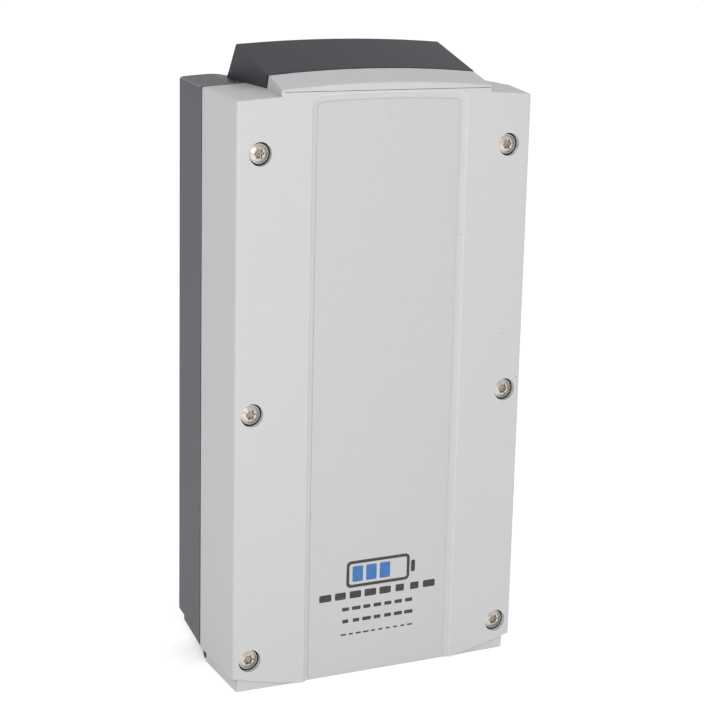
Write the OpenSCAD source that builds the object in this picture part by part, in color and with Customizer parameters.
// Removable battery pack for a pool access lift: a screwed two-part case with a grip hood,
// two sealed batteries in a cradle, and a sprung release lever that hooks the wall bracket.
// Millimetres. X is across the pack, Y runs from front to back and Z is up.

/* [Case] */
// Width across the side walls
case_w = 150; // [140:1:200]
// Height of the top wall at its front corners
case_h = 280; // [272:1:360]
// Depth from the front face to the back face
case_d = 75; // [71:0.5:100]
// Depth of the front cover, up to the parting
cover_d = 43.2; // [36:0.2:46]
// Wall thickness of the cover and the housing
wall = 2.8; // [2.2:0.1:3.2]
// Gap at the parting, which the gasket fills
parting = 1.4; // [0.6:0.1:1.8]
// How far the gasket's edge sits inside the case's sides
gasket_inset = 0.2; // [0.1:0.1:0.8]
// Radius of the vertical front edges
front_edge_r = 1.5; // [0.8:0.1:3]
// Radius of the vertical rear edges
rear_edge_r = 2.5; // [1.5:0.5:5]
// Radius of the arch across the top wall
top_arch_r = 1000; // [900:10:2000]
// Rise of the sloped front strip of the top wall
top_rise = 2.2; // [1.5:0.1:3.5]
// Depth of the sloped front strip of the top wall
top_rise_d = 20; // [14:0.2:24]
// Slope of the rear housing's top, in degrees
rear_top_tilt = 3.6; // [0:0.1:6]

/* [Bottom] */
// How far the skirt sits inside the side walls
skirt_inset = 2.6; // [1.5:0.1:3.4]
// How far the skirt sits behind the front face
skirt_back = 2; // [1.2:0.1:2.6]
// Height of the step where the side walls end
step_z = 7.5; // [5:0.5:10]
// Thickness of the cover's floor
floor_t = 3.6; // [3:0.1:5]
// Radius of the arc along the front face's lower edge
front_arc_r = 268; // [220:1:400]
// Notch in the skirt's rear corners, which shows the housing's lip
notch = 1.2; // [0.6:0.1:2]

/* [Hump and grip hood] */
// Width of the hump at its base
hump_w = 106.8; // [96:0.2:107.2]
// Width of the hood at its base
hood_w = 107.2; // [106.8:0.2:112]
// Draft of the hump's ends, in degrees
hump_draft = 8; // [2:0.5:16]
// Draft of the hood's ends, in degrees
hood_draft = 0.2; // [0:0.1:4]
// Height of the hump's crown over the top wall at the front face
hump_rise = 4; // [3:0.1:6]
// Slope of the hump and the hood, in degrees
hood_tilt = 16.3; // [12:0.1:20]
// Radius of the arch across the hump and the hood
hood_arch_r = 600; // [450:10:1200]
// Depth of the hump, up to the hood
hump_d = 17.8; // [14:0.2:22]
// Depth from the front face to the hood's highest edge
hood_crest_y = 54.6; // [48:0.2:58]
// Depth from the front face to the hood's rear foot
hood_foot_y = 66; // [62:0.2:69]
// Radius of the hood's rear lower corner
hood_corner_r = 2; // [1:0.5:5]
// How far the hood's sides sink towards their rear feet
hood_sink = 1.2; // [0:0.1:1.4]
// Skin thickness of the hood
hood_wall = 3; // [2.4:0.1:3.6]

/* [Label recess] */
// Width of the recess at the front face
recess_w = 79.8; // [60:0.2:84]
// Depth of the recess
recess_depth = 2; // [1:0.1:2.4]
// Width of the chamfer round the recess
recess_chamfer = 2.9; // [1.5:0.1:4]
// Distance from the hump's crown down to the recess
recess_top_gap = 4.1; // [3:0.1:20]
// How far the recess and its label sit to the right of the middle
recess_shift = 1; // [-2:0.1:2]
// Corner radius of the recess
recess_corner_r = 6; // [4:0.5:9]
// Thickness of the label
label_t = 0.4; // [0.2:0.1:0.8]
// Gap between the label and the recess
label_gap = 0.5; // [0.2:0.1:2]

/* [Cover screws] */
// Nominal shank diameter of the screws
screw_d = 5; // [4:0.5:5]
// Head diameter of the screws
screw_head_d = 9.5; // [8:0.1:9.8]
// Head height of the screws
screw_head_h = 3.1; // [2.4:0.1:3.4]
// Length of the screws under the head
screw_len = 50; // [46:1:54]
// Diameter of the sunk hole for a head
screw_sink_d = 11; // [10.4:0.1:11.6]
// Depth from the front face to a head's seat
screw_seat_y = 4.2; // [3.6:0.1:6]
// Thickness of the sealing washer under a head
seal_t = 0.8; // [0.5:0.1:1.2]
// Height of the washer's lip round a head
seal_lip = 2; // [1:0.1:2.4]
// Distance from the side wall to the two upper screws
screw_side_top = 11.4; // [9:0.1:14]
// Distance from the side wall to the four lower screws
screw_side_low = 8.5; // [8.2:0.1:11]
// Distance from the top corner down to the upper screws
screw_drop = 23.7; // [16:0.1:30]
// Height of the lowest screws
screw_low_z = 15.8; // [15:0.1:24]
// Outer diameter of the screw columns
column_d = 13; // [12.6:0.1:13.4]
// Outer diameter of the threaded inserts
insert_d = 7; // [6.4:0.1:8]
// Length of the threaded inserts
insert_len = 10; // [6:0.5:12]

/* [Batteries] */
// Width of one battery
batt_w = 79; // [65:1:84]
// Depth of one battery
batt_d = 56; // [40:1:57]
// Height of one battery's case
batt_h = 99; // [70:1:100]
// Thickness of the foam pads under the batteries
pad_t = 1; // [0.5:0.1:1.5]
// Thickness of the cradle's sheet
cradle_t = 1.5; // [1:0.1:1.6]
// Thickness of the strap's sheet
strap_t = 1; // [0.6:0.1:1.2]
// Height of a strap
strap_h = 16; // [10:1:24]
// Height of a strap's middle above its battery's base
strap_rise = 49.5; // [44:0.5:60]
// Height left over the lower battery for its terminals
terminal_room = 12.5; // [11:0.5:16]
// Clearance round the batteries
batt_fit = 0.3; // [0.1:0.1:0.5]

/* [Release lever] */
// Diameter of the lever's pin
pin_d = 3; // [2.5:0.1:4]
// Radial clearance of the lever on its pin
pin_fit = 0.05; // [0.02:0.01:0.1]
// Width of the lever's hub
hub_w = 40; // [30:1:44]
// Diameter of the lever's hub
hub_d = 7; // [6.5:0.1:8]
// Height of the finger paddle over the pin
paddle_h = 26.5; // [20:0.5:28]
// Thickness of the finger paddle
paddle_t = 2.5; // [2:0.1:3]
// Gap between the hook and the latch plate
hook_gap = 1; // [0.5:0.1:2]
// Width of the hook
hook_w = 12; // [8:1:14]
// Depth of the barb under the hook's arm
barb_h = 3.4; // [2:0.1:4]
// Wire diameter of the lever's spring
spring_wire = 0.8; // [0.6:0.1:1]
// Outer diameter of the lever's spring
spring_d = 6; // [5:0.1:6.4]

/* [Finger well and latch bay] */
// Width of the finger well at its floor
well_w = 84; // [70:1:86]
// Width of the flare on each of the well's upper edges
well_flare_w = 17.6; // [12:0.2:20]
// Radius of that flare
well_flare_r = 42; // [30:1:60]
// Depth of the well's floor below the flat top wall
well_drop = 22.8; // [20:0.2:26]
// Width of the latch bay
bay_w = 48; // [46:1:52]
// Depth of the latch bay below the well's floor
bay_drop = 26; // [24:0.5:28]
// Width of the striker slot
slot_w = 16; // [12:1:20]
// Height of the striker slot
slot_h = 10; // [8:0.5:12]

/* [Back and contacts] */
// Width of a hook pocket
pocket_w = 12; // [8:0.5:14]
// Height of a hook pocket's mouth
pocket_h = 14; // [10:0.5:18]
// Depth of a hook pocket
pocket_d = 5; // [4.5:0.1:5.2]
// Height of the undercut over a pocket's mouth
pocket_rise = 12; // [8:0.5:14]
// Distance between the two hook pockets
pocket_pitch = 104; // [96:1:110]
// Height of the hook pockets' lower edge
pocket_z = 22; // [21:0.5:30]
// Width of the contact block
block_w = 56; // [50:1:70]
// Height of the contact block
block_h = 22; // [18:1:26]
// Height of the contact block's centre
block_z = 35; // [32:1:45]
// Diameter of the vent plug's head
vent_d = 12; // [10:0.5:16]

/* [Wiring] */
// Outside diameter of the leads
lead_d = 3.2; // [2.4:0.1:3.6]
// Width of a battery tab
tab_w = 6.3; // [4.8:0.1:6.3]
// Height of a battery tab
tab_h = 6.4; // [5:0.1:7]

/* [Hidden] */
$fn = 48;

// Overlap that makes two solids join, and the clearance of a piece that drops into a hole
join = 0.4;
fit = 0.2;
fine = 720;

half_w = case_w / 2;
skirt_half = half_w - skirt_inset;
top_sag = pow(half_w, 2) / (2 * top_arch_r);
front_crown = case_h + top_sag;
flat_crown = front_crown + top_rise;
top_tilt = atan(top_rise / top_rise_d);
rear_y = cover_d + parting;
back_in = case_d - wall;
front_in = recess_depth + wall;
above = case_h + 60;

// Housing floor: the side walls end on a kinked line, and the inset floor slopes up to the back
side_end = [[rear_y, step_z + 1.1], [case_d - 11, step_z + 8.1], [case_d, step_z + 10]];
floor_end = [[rear_y, 1.4], [rear_y + 2, 4.3], [case_d - skirt_back, 10.6]];
slope_wall = wall + 0.1;

hump_crown = front_crown + hump_rise;
hood_y = hump_d + 0.6;
hood_fit = 0.12;
hood_base = flat_crown - pow(hood_w / 2, 2) / (2 * top_arch_r) + hood_fit;
hood_crest = hump_crown + hood_crest_y * tan(hood_tilt);
hood_foot_z = hood_base - hood_sink;

screw_xs = [half_w - screw_side_top, half_w - screw_side_low, half_w - screw_side_low];
screw_zs = [case_h - screw_drop, (case_h - screw_drop + screw_low_z) / 2, screw_low_z];
column_end = cover_d - 1;
boss_d = column_d - 1;

batt_y = front_in + strap_t + 1.2;
batt_back = batt_y + batt_d;
plate_y = batt_back + batt_fit;
plate_back = plate_y + cradle_t;
floor_slope = (floor_end[2][1] - floor_end[1][1]) / (floor_end[2][0] - floor_end[1][0]);
shelf_z = floor_end[1][1] + floor_slope * (plate_back - floor_end[1][0]) + slope_wall + 0.5;
lower_z = shelf_z + cradle_t + pad_t;
mid_shelf_z = lower_z + batt_h + terminal_room;
upper_z = mid_shelf_z + cradle_t + pad_t;
batt_zs = [lower_z, upper_z];
cradle_top = upper_z + batt_h - 4;
strap_zs = [lower_z + strap_rise, upper_z + strap_rise];
ear_x = batt_w / 2 + 6.5;
cradle_screw_d = 4;
tab_x = batt_w / 2 - 11;
tab_y = batt_y + 12;
receptacle_h = 9;

well_y = rear_y + wall;
well_half = well_w / 2;
flare_x = well_half + well_flare_w;
well_z = flat_crown - well_drop;
bay_half = bay_w / 2;
bay_z = well_z - bay_drop;
pin_y = well_y + 9.6;
pin_z = well_z - 8;
arm_t = 4;
toe_z = pin_z - 3.2;
spring_y = well_y + spring_d / 2 + 0.9;
spring_h = toe_z - bay_z - fit;
plate_t = 2.4;
hook_reach = case_d - plate_t - hook_gap - pin_y;
plate_top = well_z - 1;
latch_screw_x = bay_half - 5;
latch_screw_z = bay_z + 5.5;
slot_z = pin_z - 6.5;
small_screw_d = 3;

hood_screw_x = well_half + 7;
hood_screw_y = well_y + 5;
hood_seat_z = hood_base - 1.4;
hood_post_d = 8;
hood_pad_h = 9;
hood_screw_len = 13;
hood_screw_d = 4;

block_y = case_d - 0.8;
block_ear = 8;
ledge_d = 2.4;
ear_seat_y = case_d - ledge_d + 0.6;
frame_back = case_d - ledge_d - 2;
blade_xs = [-13.5, -4.5, 4.5, 13.5];
blade_t = 1.2;
vent_x = half_w - 23;
vent_z = 105 + (case_h - 280) / 2;
holder_x = 13;
holder_w = 24;
holder_h = 20;
holder_d = 12;
holder_z = bay_z + 12;

// Leads: points by hand from each tab to where the lead ends
lead_side = half_w - 19.5;
flag_x = tab_x + tab_w / 2 + 1.3;
flag_y = tab_y + 0.4;
low_flag_z = lower_z + batt_h + 5.5;
high_flag_z = upper_z + batt_h + 5.5;
link_x = batt_w / 2 + 7.5;
holder_y = rear_y - holder_d / 2;
behind_y = plate_back + lead_d / 2 + 0.2;
entry_x = 13.5;
entry_z = block_z + block_h / 2 - 2 - fit;
turn_z = entry_z + 9.2;
series_pts = [[flag_x, flag_y, low_flag_z], [flag_x + 2, flag_y, low_flag_z], [flag_x + 4, flag_y, low_flag_z],
              [link_x, flag_y + 2, low_flag_z + 8], [link_x, flag_y + 4, low_flag_z + 30],
              [link_x, flag_y + 4, high_flag_z - 30], [link_x, flag_y + 2, high_flag_z - 8],
              [flag_x + 4, flag_y, high_flag_z], [flag_x + 2, flag_y, high_flag_z],
              [flag_x, flag_y, high_flag_z]];
fused_pts = [[-flag_x, flag_y, high_flag_z], [-flag_x - 2, flag_y, high_flag_z],
             [-flag_x - 4, flag_y, high_flag_z],
             [-flag_x - 8, flag_y + 5, high_flag_z + 8], [-flag_x, flag_y + 12, high_flag_z + 18],
             [holder_x - holder_w / 2 - 16, holder_y - 3, holder_z + 4],
             [holder_x - holder_w / 2 - 5, holder_y, holder_z + 2],
             [holder_x - holder_w / 2 - 2, holder_y, holder_z + 2],
             [holder_x - holder_w / 2, holder_y, holder_z + 2]];
positive_pts = [[holder_x + holder_w / 2, holder_y, holder_z + 2],
                [holder_x + holder_w / 2 + 2, holder_y, holder_z + 2],
                [holder_x + holder_w / 2 + 5, holder_y, holder_z + 2],
                [holder_x + holder_w / 2 + 12, holder_y, holder_z],
                [lead_side - 4, holder_y + 1, holder_z - 8], [lead_side, holder_y + 6, holder_z - 30],
                [lead_side, holder_y + 10, strap_zs[1] - 30], [lead_side, holder_y + 12, strap_zs[0] + 40],
                [lead_side, holder_y + 14, strap_zs[0] + 6], [lead_side - 3, plate_y - 3, turn_z + 1],
                [ear_x, behind_y, turn_z], [entry_x + 16, behind_y, turn_z],
                [entry_x + 5, behind_y, turn_z - 1], [entry_x, behind_y, entry_z + 4],
                [entry_x, behind_y, entry_z + 2], [entry_x, behind_y, entry_z]];
negative_pts = [[-flag_x, flag_y, low_flag_z], [-flag_x - 2, flag_y, low_flag_z],
                [-flag_x - 4, flag_y, low_flag_z],
                [-link_x, flag_y + 3, low_flag_z - 6], [-link_x - 3, flag_y + 14, low_flag_z - 20],
                [-lead_side, holder_y + 13, strap_zs[0] + 10], [-lead_side + 3, plate_y - 3, turn_z + 1],
                [-ear_x, behind_y, turn_z], [-entry_x - 16, behind_y, turn_z],
                [-entry_x - 5, behind_y, turn_z - 1], [-entry_x, behind_y, entry_z + 4],
                [-entry_x, behind_y, entry_z + 2], [-entry_x, behind_y, entry_z]];

// ---- Helpers ----

// Modules work with Y measured from the front face, and this puts the pack's middle at Y = 0
module place() {
    translate([0, -case_d / 2, 0]) children();
}

// A flat X-Z outline made solid from depth y0 to depth y1
module deep(y0, y1) {
    translate([0, y1, 0]) rotate([90, 0, 0]) linear_extrude(y1 - y0) children();
}

// A flat Y-Z outline made solid across a width
module wide(width) {
    rotate([90, 0, 90]) linear_extrude(width, center = true) children();
}

// A box centred on X
module block(width, y0, y1, z0, z1) {
    translate([-width / 2, y0, z0]) cube([width, y1 - y0, z1 - z0]);
}

// A round bar along Y from depth y0 to depth y1
module bar(d, x, z, y0, y1) {
    translate([x, y1, z]) rotate([90, 0, 0]) cylinder(d = d, h = y1 - y0);
}

// All that lies under an arch along the depth, with its crown through (y0, z0)
module under_arch(radius, y0, z0, tilt, drop = 0) {
    translate([0, y0, z0]) rotate([tilt, 0, 0]) translate([0, 0, -radius])
        rotate([90, 0, 0]) cylinder(r = radius - drop, h = 6 * case_d, center = true, $fn = fine);
}

module under_cover_top(drop = 0) {
    intersection() {
        under_arch(top_arch_r, 0, front_crown, top_tilt, drop);
        under_arch(top_arch_r, 0, flat_crown, 0, drop);
    }
}

module under_rear_top(drop = 0) {
    under_arch(top_arch_r, cover_d, flat_crown, rear_top_tilt, drop);
}

module under_hood_top(drop = 0) {
    under_arch(hood_arch_r, 0, hump_crown, hood_tilt, drop);
}

// Plan outline with two rounded corners at depth y0; y1 may lie in front of y0
module plan(half, y0, y1, r) {
    s = sign(y1 - y0);
    translate([-half, min(y0 + s * r, y1)]) square([2 * half, abs(y1 - y0) - r]);
    translate([-half + r, min(y0, y0 + s * (r + join))]) square([2 * (half - r), r + join]);
    for (side = [-1, 1]) {
        translate([side * (half - r), y0 + s * r]) circle(r = r);
    }
}

// Outline with upright ends up to the hood's base and drafted ends above it
module drafted(width, draft) {
    foot = hood_base - 12;
    top = width - 2 * (above - hood_base) * tan(draft);
    polygon([[-width / 2, foot], [width / 2, foot], [width / 2, hood_base], [top / 2, above],
             [-top / 2, above], [-width / 2, hood_base]]);
}

// The case's stepped outline at the parting, set in by an inset
module case_outline(inset) {
    side = half_w - inset;
    intersection() {
        union() {
            translate([-side, step_z + 1.1 + inset]) square([2 * side, above]);
            translate([-skirt_half + inset, 1 + inset]) square([2 * (skirt_half - inset), above]);
        }
        translate([0, flat_crown - top_arch_r]) circle(r = top_arch_r - inset, $fn = fine);
    }
}

// Recess outline: straight sides, an arched top and rounded corners, set in by an inset
module recess_outline(inset, bottom) {
    translate([recess_shift, 0]) centred_recess(inset, bottom);
}

module centred_recess(inset, bottom) {
    half = recess_w / 2 - inset;
    r = max(recess_corner_r - inset, 1);
    crown = hump_crown - recess_top_gap - inset;
    x = half - r;
    hull() {
        intersection() {
            translate([-x, bottom]) square([2 * x, above]);
            translate([0, crown - hood_arch_r]) circle(r = hood_arch_r, $fn = fine);
        }
        for (side = [-1, 1]) {
            translate([side * x, crown - pow(x, 2) / (2 * hood_arch_r) - r]) circle(r = r, $fn = 32);
        }
        translate([-half, bottom]) square([2 * half, 1]);
    }
}

// A tube swept along smoothed points
function bend(p, i, t) =
    let (a = p[max(i - 1, 0)], b = p[i], c = p[i + 1], d = p[min(i + 2, len(p) - 1)])
    0.5 * (2 * b + (c - a) * t + (2 * a - 5 * b + 4 * c - d) * t * t + (3 * b - a - 3 * c + d) * t * t * t);
function smooth(p, steps) =
    concat([for (i = [0 : len(p) - 2]) for (k = [0 : steps - 1]) bend(p, i, k / steps)], [p[len(p) - 1]]);
function unit(v) = v / norm(v);
function heading(p, i) = unit(p[min(i + 1, len(p) - 1)] - p[max(i - 1, 0)]);

// Each ring's sideways direction is carried on from the ring before, so the tube doesn't twist
function carried(p, i) =
    let (along = heading(p, i), before = i == 0 ? [0.31, 0.17, 0.93] : carried(p, i - 1))
    unit(before - (before * along) * along);

module tube(points, d, sides = 8) {
    rings = len(points);
    verts = [for (i = [0 : rings - 1])
        let (along = heading(points, i), u = carried(points, i), v = cross(along, u))
        for (k = [0 : sides - 1]) points[i] + d / 2 * (cos(360 * k / sides) * u + sin(360 * k / sides) * v)];
    walls = [for (i = [0 : rings - 2]) for (k = [0 : sides - 1])
        let (a = i * sides + k, b = i * sides + (k + 1) % sides)
        for (face = [[a, a + sides, b + sides], [a, b + sides, b]]) face];
    ends = [[for (k = [0 : sides - 1]) k], [for (k = [sides - 1 : -1 : 0]) (rings - 1) * sides + k]];
    polyhedron(verts, concat(walls, ends));
}

module each_screw() {
    for (side = [-1, 1]) for (row = [0 : 2]) translate([side * screw_xs[row], 0, screw_zs[row]]) children();
}

// A six-lobe driver recess as a flat outline
module six_lobe(d) {
    difference() {
        union() {
            circle(d = 0.76 * d);
            for (a = [0 : 60 : 300]) rotate(a) translate([0.38 * d, 0]) circle(d = 0.24 * d);
        }
        for (a = [30 : 60 : 330]) rotate(a) translate([0.5 * d, 0]) circle(d = 0.26 * d);
    }
}

// A pan-head screw: head seat at the origin, shank along +Z
module pan_screw(d, head_d, head_h, length) {
    edge = 0.38 * head_h;
    dome = (pow(head_d / 2, 2) + pow(edge, 2)) / (2 * edge);
    difference() {
        union() {
            intersection() {
                translate([0, 0, -head_h]) cylinder(d = head_d, h = head_h);
                translate([0, 0, dome - head_h]) sphere(r = dome, $fn = 128);
            }
            cylinder(d = d - 0.2, h = length);
        }
        translate([0, 0, -head_h - 1]) linear_extrude(1 + 0.6 * head_h) six_lobe(0.48 * head_d);
    }
}

// ---- Case ----

module cover_solid() {
    intersection() {
        union() {
            translate([0, 0, step_z]) linear_extrude(above) plan(half_w, 0, cover_d, front_edge_r);
            linear_extrude(step_z + join) plan(skirt_half, skirt_back, cover_d, front_edge_r);
            intersection() {
                linear_extrude(step_z + join) plan(half_w, 0, cover_d, front_edge_r);
                translate([0, 0, front_arc_r - 2.6]) rotate([90, 0, 0])
                    cylinder(r = front_arc_r, h = 2 * (skirt_back + join), center = true, $fn = fine);
            }
        }
        under_cover_top();
    }
    intersection() {
        deep(0, hump_d) drafted(hump_w, hump_draft);
        under_hood_top();
    }
}

module cover_hollow() {
    intersection() {
        union() {
            block(case_w - 2 * wall, front_in, cover_d + 1, step_z + floor_t, above);
            block(2 * (skirt_half - wall), front_in, cover_d + 1, floor_t, above);
            for (side = [-1, 1]) let (edge = recess_w / 2 + side * recess_shift)
                translate([side * (half_w + edge) / 2, 0, 0])
                    block(half_w - edge - 2 * wall, wall, front_in + 1, step_z + floor_t, above);
        }
        under_cover_top(wall);
    }
    intersection() {
        block(hump_w - 4 * wall, front_in, hump_d - wall, case_h - 20, above);
        under_hood_top(wall);
    }
}

module front_cover() {
    color([0.84, 0.84, 0.85]) place() difference() {
        union() {
            difference() {
                cover_solid();
                cover_hollow();
            }
            each_screw() bar(column_d, 0, 0, wall - join, column_end);
        }
        each_screw() {
            bar(screw_sink_d, 0, 0, -1, screw_seat_y + seal_t);
            bar(screw_d + 0.5, 0, 0, 0, cover_d);
        }
        hull() {
            deep(-0.01, 0) recess_outline(0, -2);
            deep(recess_depth - 0.01, recess_depth) recess_outline(recess_chamfer, -2);
        }
        for (side = [-1, 1]) translate([side * skirt_half, 0, 0])
            block(2 * notch, cover_d - notch, cover_d + 1, -1, step_z);
    }
}

module housing_solid() {
    intersection() {
        union() {
            wide(2 * half_w) polygon(concat(side_end, [[case_d, above], [rear_y, above]]));
            wide(2 * skirt_half) polygon(concat(floor_end,
                [[case_d - skirt_back, above - 60], [rear_y, above - 60]]));
        }
        linear_extrude(above) plan(half_w, case_d, rear_y, rear_edge_r);
        under_rear_top();
    }
}

// Outline of the flares on the well's upper edges, with Z measured from the top wall's crown
module flare_outline(grow) {
    centre_z = -pow(flare_x, 2) / (2 * top_arch_r) - well_flare_r;
    width = well_flare_w + 1;
    for (side = [-1, 1]) difference() {
        translate([side * (flare_x - width / 2) - width / 2, centre_z]) square([width, 2 * well_flare_r]);
        translate([side * flare_x, centre_z]) circle(r = well_flare_r - grow, $fn = 192);
    }
}

// The finger well, its flares, which follow the top wall's slope, and the latch bay, grown by a wall
module well(grow) {
    block(well_w + 2 * grow, well_y - grow, case_d + 1, well_z - grow, above);
    translate([0, cover_d, flat_crown]) rotate([rear_top_tilt, 0, 0])
        deep(well_y - cover_d - grow, case_d) flare_outline(grow);
    block(bay_w + 2 * grow, well_y - grow, case_d + 1, bay_z - grow, well_z + 1);
}

module housing_hollow() {
    difference() {
        intersection() {
            union() {
                wide(case_w - 2 * wall) polygon([[rear_y - 1, side_end[0][1] + slope_wall],
                    [side_end[1][0], side_end[1][1] + slope_wall], [back_in, side_end[2][1] + slope_wall],
                    [back_in, above], [rear_y - 1, above]]);
                wide(2 * (skirt_half - wall)) polygon([[rear_y - 1, floor_end[1][1] + slope_wall],
                    [rear_y + 2, floor_end[1][1] + slope_wall], [back_in, floor_end[2][1] + slope_wall],
                    [back_in, above], [rear_y - 1, above]]);
            }
            linear_extrude(above) plan(half_w - wall, back_in, rear_y - 1, rear_edge_r - 1);
            under_rear_top(wall);
        }
        well(wall);
    }
}

module housing_bosses() {
    intersection() {
        union() {
            each_screw() bar(boss_d, 0, 0, rear_y + 1, back_in + join);
            for (side = [-1, 1], z = strap_zs) bar(8, side * ear_x, z, plate_back, back_in + join);
            for (side = [-1, 1]) {
                translate([side * pocket_pitch / 2, 0, 0]) block(pocket_w + 4.8, case_d - pocket_d - 2.4,
                    case_d - 1, pocket_z - 2.4, pocket_z + pocket_h + pocket_rise + 2.4);
                translate([side * hood_screw_x, hood_screw_y, 0])
                    translate([0, 0, hood_seat_z - hood_pad_h]) cylinder(d = 9, h = hood_pad_h);
                bar(7, side * (block_w / 2 - block_ear / 2), block_z, ear_seat_y - 6.8, back_in + join);
            }
            block(block_w + 6, frame_back, back_in + join, block_z - block_h / 2 - 3,
                block_z + block_h / 2 + 3);
        }
        housing_solid();
    }
}

module latch_posts() {
    for (side = [-1, 1]) translate([side * latch_screw_x, 0, 0]) {
        block(10.4, well_y + 13, case_d - plate_t, bay_z - join, latch_screw_z + 4);
    }
    translate([0, spring_y, bay_z - join]) cylinder(d = spring_d - 2 * spring_wire - 0.6, h = 4 + join);
}

// Pockets in the housing's top that take the hood's sides
module hood_pockets() {
    inner = well_half - 1;
    outer = hood_w / 2 + fit;
    for (side = [-1, 1]) translate([side * (inner + outer) / 2, 0, 0]) wide(outer - inner)
        polygon([[rear_y - 1, hood_base - fit], [hood_foot_y + fit, hood_foot_z - fit],
                 [hood_foot_y + fit, above], [rear_y - 1, above]]);
}

module hook_pocket() {
    block(pocket_w, case_d - pocket_d, case_d + 1, pocket_z, pocket_z + pocket_h);
    block(pocket_w, case_d - pocket_d, case_d - 2, pocket_z, pocket_z + pocket_h + pocket_rise);
}

module rear_housing() {
    color([0.35, 0.36, 0.39]) place() difference() {
        union() {
            difference() {
                union() {
                    difference() {
                        housing_solid();
                        housing_hollow();
                    }
                    housing_bosses();
                }
                well(0);
                hood_pockets();
            }
            latch_posts();
            for (side = [-1, 1]) translate([side * hood_screw_x, hood_screw_y, hood_seat_z - hood_pad_h])
                cylinder(d = 9, h = hood_pad_h);
        }
        each_screw() {
            bar(insert_d, 0, 0, rear_y, rear_y + 1 + insert_len);
            bar(screw_d + 0.4, 0, 0, rear_y, screw_seat_y + screw_len + 2);
        }
        for (side = [-1, 1]) {
            for (z = strap_zs) bar(cradle_screw_d - 0.6, side * ear_x, z, plate_back - 1, back_in - 0.4);
            translate([side * pocket_pitch / 2, 0, 0]) hook_pocket();
            translate([side * hood_screw_x, hood_screw_y, hood_seat_z - 12])
                cylinder(d = hood_screw_d + 0.4, h = 20);
            translate([side * hood_screw_x, hood_screw_y, hood_seat_z - hood_pad_h - 4])
                cylinder(d = 7.8, h = 4);
            translate([side * hood_screw_x, hood_screw_y, hood_seat_z])
                cylinder(d = hood_post_d + 2 * fit, h = 6);
            bar(small_screw_d - 0.5, side * latch_screw_x, latch_screw_z, case_d - plate_t - 9, case_d + 1);
            bar(small_screw_d - 0.5, side * (block_w / 2 - block_ear / 2), block_z, ear_seat_y - 5.4, case_d + 1);
        }
        // Bore for the lever's pin through both walls of the bay
        translate([0, pin_y, pin_z]) rotate([0, 90, 0]) cylinder(d = pin_d, h = bay_w + 3 * wall, center = true);
        bar(small_screw_d - 0.2, holder_x, holder_z - holder_h / 2 + 5, rear_y - 1, rear_y + 2);
        // Pocket and opening for the contact block
        block(block_w + 2 * fit, case_d - ledge_d, case_d + 1, block_z - block_h / 2 - fit,
            block_z + block_h / 2 + fit);
        block(block_w - 2 * block_ear, case_d - 10, case_d + 1, block_z - block_h / 2 + 2,
            block_z + block_h / 2 - 2);
        // Seat for the latch plate, and the vent's hole
        block(bay_w + 4, case_d - plate_t, case_d + 1, bay_z - 2, plate_top + fit);
        bar(6, vent_x, vent_z, case_d - 10, case_d + 1);
        bar(vent_d + 1, vent_x, vent_z, case_d - 0.8, case_d + 1);
    }
}

module grip_hood() {
    color([0.33, 0.34, 0.37]) place() difference() {
        union() {
            difference() {
                intersection() {
                    deep(hood_y, hood_foot_y) drafted(hood_w, hood_draft);
                    under_hood_top();
                    wide(2 * case_w) hood_side();
                }
                // Hollow for the fingers, open to the back and below
                intersection() {
                    block(hood_w - 2 * hood_wall - 2, hood_y + hood_wall, case_d, hood_base - 20, above);
                    under_hood_top(hood_wall);
                }
                under_cover_top(-hood_fit);
            }
            for (side = [-1, 1]) intersection() {
                translate([side * hood_screw_x, hood_screw_y, hood_seat_z]) cylinder(d = hood_post_d, h = 20);
                block(hood_w - 3, hood_y, hood_foot_y, hood_seat_z, above);
                under_hood_top(1);
            }
        }
        for (side = [-1, 1]) translate([side * hood_screw_x, hood_screw_y, hood_seat_z - 1])
            cylinder(d = hood_screw_d - 0.6, h = 8);
    }
}

// Side view of the hood: an underside that sinks into the housing, a rounded rear foot, and a back that
// leans forward to the crest
module hood_side() {
    foot = hood_foot_y;
    r = hood_corner_r;
    z = hood_foot_z;
    lean = (foot - hood_crest_y) / (hood_crest - z - r);
    polygon([[hood_y, hood_base], [rear_y, hood_base], [foot - r, z], [foot - r, z + r],
             [foot, z + r], [foot - 30 * lean, z + r + 30], [hood_y, z + r + 30]]);
    translate([foot - r, z + r]) circle(r = r);
}

module label_panel() {
    color([0.80, 0.79, 0.79]) place() deep(recess_depth - label_t, recess_depth)
        recess_outline(recess_chamfer + label_gap, 1.6);
}

module cover_gasket() {
    color([0.04, 0.04, 0.05]) place() deep(cover_d, rear_y) difference() {
        case_outline(gasket_inset);
        case_outline(2.5);
    }
}

module cover_screws() {
    color([0.76, 0.74, 0.71]) place() each_screw() translate([0, screw_seat_y, 0]) rotate([-90, 0, 0])
        pan_screw(screw_d, screw_head_d, screw_head_h, screw_len);
}

module screw_seals() {
    color([0.04, 0.04, 0.05]) place() each_screw() difference() {
        bar(screw_sink_d - fit, 0, 0, screw_seat_y - seal_lip, screw_seat_y + seal_t);
        bar(screw_d + 0.1, 0, 0, 0, cover_d);
        bar(screw_head_d + 0.1, 0, 0, 0, screw_seat_y);
    }
}

module cover_inserts() {
    color([0.78, 0.62, 0.30]) place() each_screw() difference() {
        bar(insert_d, 0, 0, rear_y + 1, rear_y + 1 + insert_len);
        bar(screw_d - 0.1, 0, 0, rear_y, rear_y + 2 + insert_len);
    }
}

// ---- Batteries ----

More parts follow.
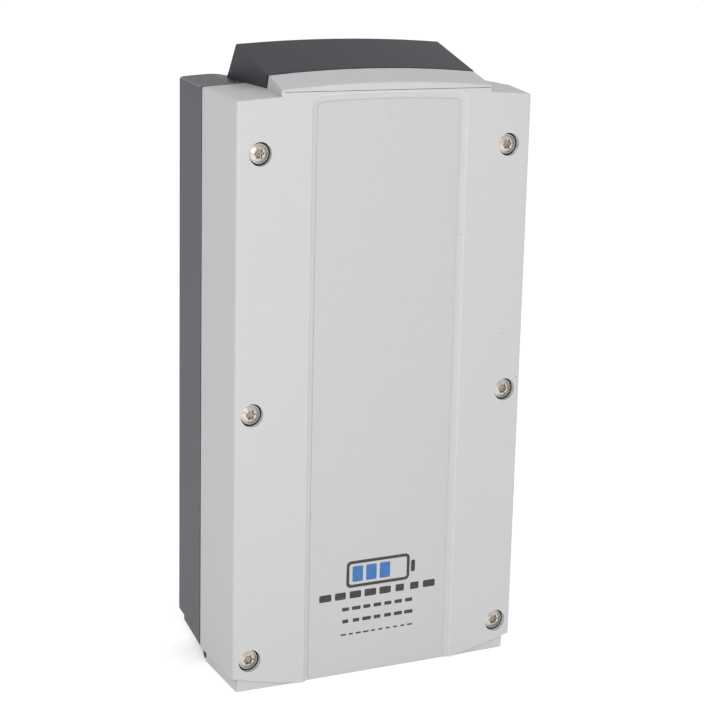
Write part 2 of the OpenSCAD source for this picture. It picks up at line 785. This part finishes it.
module battery(z) {
    lid = 6;
    difference() {
        union() {
            translate([0, 0, z]) block(batt_w, batt_y, batt_back, 0, batt_h - lid);
            translate([0, 0, z]) block(batt_w - 1, batt_y + 0.5, batt_back - 0.5, batt_h - lid - join, batt_h);
        }
        translate([0, 0, z + batt_h - 0.8]) block(26, batt_y + 20, batt_y + 44, 0, 2);
    }
}

module lower_battery() {
    color([0.16, 0.17, 0.18]) place() battery(lower_z);
}

module upper_battery() {
    color([0.16, 0.17, 0.18]) place() battery(upper_z);
}

module battery_tabs() {
    color([0.75, 0.74, 0.70]) place() for (z = batt_zs, side = [-1, 1])
        translate([side * tab_x, 0, z + batt_h]) block(tab_w, tab_y, tab_y + 0.8, 0, tab_h);
}

// The strip over each battery's six relief valves
module battery_vents() {
    color([0.22, 0.22, 0.24]) place() for (z = batt_zs)
        translate([0, 0, z + batt_h - 0.8]) block(25.6, batt_y + 20.2, batt_y + 43.8, 0, 1.6);
}

module battery_cradle() {
    color([0.62, 0.63, 0.65]) place() difference() {
        union() {
            block(batt_w - 4, plate_y, plate_back, shelf_z, cradle_top);
            block(batt_w - 4, batt_y + 2, plate_back, shelf_z, shelf_z + cradle_t);
            block(batt_w - 4, batt_y + 24, plate_back, mid_shelf_z, mid_shelf_z + cradle_t);
            for (z = strap_zs) block(2 * ear_x + 12, plate_y, plate_back, z - strap_h / 2, z + strap_h / 2);
        }
        for (side = [-1, 1], z = strap_zs)
            bar(cradle_screw_d + 0.4, side * ear_x, z, plate_y - 1, plate_back + 1);
    }
}

module battery_straps() {
    in_half = batt_w / 2 + batt_fit;
    out_half = in_half + strap_t;
    front = batt_y - batt_fit - strap_t;
    color([0.72, 0.72, 0.73]) place() for (z = strap_zs) difference() {
        union() {
            block(2 * out_half, front, plate_y, z - strap_h / 2, z + strap_h / 2);
            block(2 * ear_x + 12, plate_y - strap_t, plate_y, z - strap_h / 2, z + strap_h / 2);
        }
        block(2 * in_half, front + strap_t, plate_y + 1, z - strap_h, z + strap_h);
        for (side = [-1, 1]) bar(cradle_screw_d + 0.4, side * ear_x, z, front, plate_y + 1);
    }
}

module cradle_screws() {
    color([0.70, 0.70, 0.71]) place() for (side = [-1, 1], z = strap_zs)
        translate([side * ear_x, plate_y - strap_t, z]) rotate([-90, 0, 0])
            pan_screw(cradle_screw_d - 0.5, 7, 2.4, strap_t + cradle_t + 4);
}

module battery_pads() {
    color([0.12, 0.12, 0.13]) place() {
        block(batt_w - 8, batt_y + 4, batt_back - 2, shelf_z + cradle_t, lower_z);
        block(batt_w - 8, batt_y + 26, batt_back - 2, mid_shelf_z + cradle_t, upper_z);
    }
}

// ---- Wiring ----

module tab_receptacles() {
    color([0.72, 0.10, 0.09]) place() for (z = batt_zs, side = [-1, 1]) difference() {
        translate([side * tab_x, 0, z + batt_h])
            block(tab_w + 2.6, tab_y - 1.6, tab_y + 2.4, 0.5, receptacle_h);
        translate([side * tab_x, 0, z + batt_h]) block(tab_w + 0.2, tab_y - 0.1, tab_y + 0.9, -1, tab_h + 0.5);
    }
}

module series_link() {
    color([0.05, 0.05, 0.06]) place() tube(smooth(series_pts, 4), lead_d);
}

module fused_lead() {
    color([0.70, 0.08, 0.08]) place() tube(smooth(fused_pts, 4), lead_d);
}

module positive_lead() {
    color([0.70, 0.08, 0.08]) place() tube(smooth(positive_pts, 4), lead_d);
}

module negative_lead() {
    color([0.05, 0.05, 0.06]) place() tube(smooth(negative_pts, 4), lead_d);
}

module fuse_holder() {
    color([0.10, 0.10, 0.11]) place() translate([holder_x, 0, holder_z]) difference() {
        block(holder_w, rear_y - holder_d, rear_y, -holder_h / 2, holder_h / 2);
        block(holder_w - 4, rear_y - holder_d + 3, rear_y - 3, 0, holder_h);
        bar(small_screw_d + 0.4, 0, -holder_h / 2 + 5, 0, case_d);
        bar(6, 0, -holder_h / 2 + 5, 0, rear_y - 4);
    }
}

module blade_fuse() {
    color([0.85, 0.55, 0.10]) place() translate([holder_x, rear_y - holder_d / 2, holder_z]) {
        block(holder_w - 5, -2.6, 2.6, 6, 14);
        for (side = [-1, 1]) translate([side * 7, 0, 0]) block(5, -0.4, 0.4, 0.5, 6.4);
    }
}

module fuse_screw() {
    color([0.70, 0.70, 0.71]) place() translate([holder_x, rear_y - 4, holder_z - holder_h / 2 + 5])
        rotate([-90, 0, 0]) pan_screw(small_screw_d, 5.6, 2, 5.5);
}

// ---- Back, contacts and latch ----

module contact_block() {
    color([0.07, 0.07, 0.08]) place() difference() {
        union() {
            block(block_w, case_d - ledge_d, block_y, block_z - block_h / 2, block_z + block_h / 2);
            block(block_w - 2 * block_ear - 2 * fit, plate_back + 0.5, block_y,
                block_z - block_h / 2 + 2 + fit, block_z + block_h / 2 - 2 - fit);
        }
        for (x = blade_xs) translate([x, 0, 0]) {
            block(5, block_y - 2, block_y + 1, block_z - 7.5, block_z + 7.5);
            block(3, plate_back, block_y, block_z - 5, block_z + 5);
        }
        for (side = [-1, 1]) {
            bar(small_screw_d + 0.4, side * (block_w / 2 - block_ear / 2), block_z, 0, case_d + 1);
            bar(6, side * (block_w / 2 - block_ear / 2), block_z, ear_seat_y, case_d + 1);
        }
    }
}

module contact_blades() {
    color([0.86, 0.70, 0.36]) place() for (x = blade_xs) translate([x, 0, 0]) {
        block(4.8, block_y - 2, block_y - 2 + blade_t, block_z - 7.3, block_z + 7.3);
        block(2.8, plate_back + 0.6, block_y - 2, block_z - 4.8, block_z + 4.8);
    }
}

module contact_screws() {
    color([0.72, 0.72, 0.73]) place() for (side = [-1, 1])
        translate([side * (block_w / 2 - block_ear / 2), ear_seat_y, block_z]) rotate([90, 0, 0])
            pan_screw(small_screw_d - 0.4, 5.4, 1, 4.6);
}

module release_lever() {
    color([0.20, 0.21, 0.23]) place() translate([0, pin_y, pin_z]) difference() {
        union() {
            rotate([0, 90, 0]) cylinder(d = hub_d, h = hub_w, center = true);
            block(hub_w, -paddle_t, 0, 0, paddle_h);
            for (k = [0 : 3]) translate([0, 0, paddle_h - 3 - 4 * k]) rotate([0, 90, 0])
                cylinder(d = 1.8, h = hub_w - 6, center = true);
            block(hook_w, 0, hook_reach, -2, arm_t - 2);
            block(hook_w, hook_reach - 3.6, hook_reach, -2 - barb_h, arm_t - 2);
            block(hook_w, spring_y - pin_y - spring_d / 2, 0, toe_z - pin_z, 1);
        }
        rotate([0, 90, 0]) cylinder(d = pin_d + 2 * pin_fit, h = hub_w + 2, center = true);
    }
}

module lever_pin() {
    color([0.78, 0.78, 0.80]) place() translate([0, pin_y, pin_z]) rotate([0, 90, 0])
        cylinder(d = pin_d, h = bay_w + 2 * wall, center = true);
}

module lever_spring() {
    turns = 6;
    r = (spring_d - spring_wire) / 2;
    lift = spring_h - spring_wire;
    path = [for (k = [0 : 12 * turns]) [r * cos(30 * k), r * sin(30 * k), spring_wire / 2 + lift * k / (12 * turns)]];
    color([0.74, 0.74, 0.76]) place() translate([0, spring_y, bay_z]) tube(path, spring_wire, 6);
}

module latch_plate() {
    color([0.30, 0.31, 0.34]) place() difference() {
        block(bay_w + 4 - 2 * fit, case_d - plate_t, case_d, bay_z - 2 + fit, plate_top);
        block(slot_w, case_d - plate_t - 1, case_d + 1, slot_z - slot_h / 2, slot_z + slot_h / 2);
        for (side = [-1, 1]) {
            bar(small_screw_d + 0.4, side * latch_screw_x, latch_screw_z, 0, case_d + 1);
            bar(6, side * latch_screw_x, latch_screw_z, case_d - 1.4, case_d + 1);
        }
    }
}

module latch_screws() {
    color([0.72, 0.72, 0.73]) place() for (side = [-1, 1])
        translate([side * latch_screw_x, case_d - 1.4, latch_screw_z]) rotate([90, 0, 0])
            pan_screw(small_screw_d - 0.4, 5.4, 1.3, 7);
}

module hood_screws() {
    color([0.72, 0.72, 0.73]) place() for (side = [-1, 1])
        translate([side * hood_screw_x, hood_screw_y, hood_seat_z - hood_pad_h])
            pan_screw(hood_screw_d - 0.4, 7, 2.4, hood_screw_len);
}

module vent_plug() {
    color([0.06, 0.06, 0.07]) place() {
        bar(vent_d, vent_x, vent_z, case_d - 0.8, case_d - 0.1);
        bar(6 - 2 * fit, vent_x, vent_z, back_in - 1, case_d - 0.4);
        bar(9, vent_x, vent_z, back_in - 1.5, back_in);
    }
}

front_cover();
rear_housing();
grip_hood();
label_panel();
cover_gasket();
cover_screws();
screw_seals();
cover_inserts();
lower_battery();
upper_battery();
battery_tabs();
battery_vents();
battery_cradle();
battery_straps();
cradle_screws();
battery_pads();
tab_receptacles();
series_link();
fused_lead();
positive_lead();
negative_lead();
fuse_holder();
blade_fuse();
fuse_screw();
contact_block();
contact_blades();
contact_screws();
release_lever();
lever_pin();
lever_spring();
latch_plate();
latch_screws();
hood_screws();
vent_plug();
